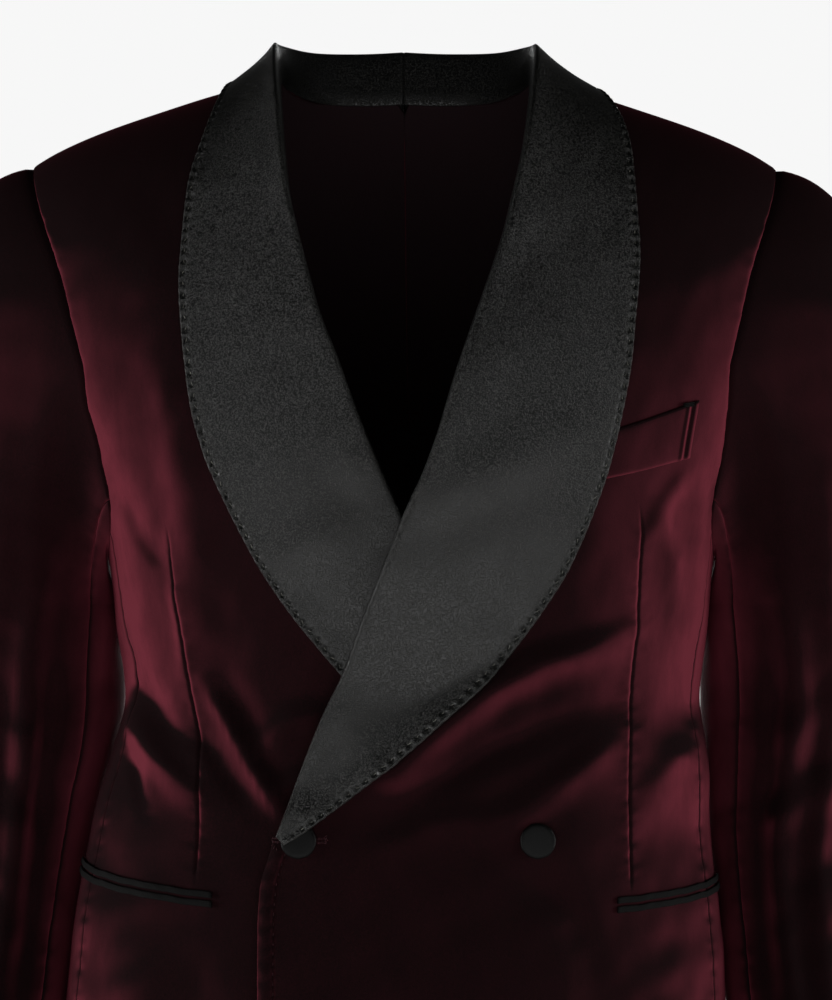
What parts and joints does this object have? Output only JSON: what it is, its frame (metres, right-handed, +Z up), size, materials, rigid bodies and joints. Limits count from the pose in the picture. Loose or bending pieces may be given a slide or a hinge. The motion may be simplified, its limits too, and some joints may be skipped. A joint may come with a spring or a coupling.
{
  "type": "worn double-breasted velvet dinner jacket with satin shawl collar",
  "caption": "Hollow worn dinner jacket: double-breasted velvet body with a black satin shawl collar, jetted hip pockets, a breast welt and covered buttons.",
  "frame": {"origin": "on the middle line between the shoulders, level with the roll of the collar at the shoulder seams, where the wearer holds the jacket up", "axes": "+X to the wearer's left, the front faces -Y, +Z up"},
  "size_m": [0.6243, 0.2698, 0.7772],
  "materials": {
    "velvet": "short dense pile, deep wine red",
    "satin": "black satin with a soft sheen",
    "pocket_jet": "black satin jetting",
    "covered_button": "black satin over a flat disc"
  },
  "bodies": {
    "root": {"front_left": "velvet", "front_right": "velvet", "side_panel_left": "velvet", "side_panel_right": "velvet", "back_left": "velvet", "back_right": "velvet", "sleeve_top_left": "velvet", "sleeve_top_right": "velvet", "sleeve_under_left": "velvet", "sleeve_under_right": "velvet", "shawl_left": "satin", "shawl_right": "satin", "pocket_jet_upper_left": "pocket_jet", "pocket_jet_lower_left": "pocket_jet", "pocket_jet_upper_right": "pocket_jet", "pocket_jet_lower_right": "pocket_jet", "breast_welt": "velvet", "button_fastened": "covered_button", "button_show": "covered_button"}
  },
  "joints": []
}
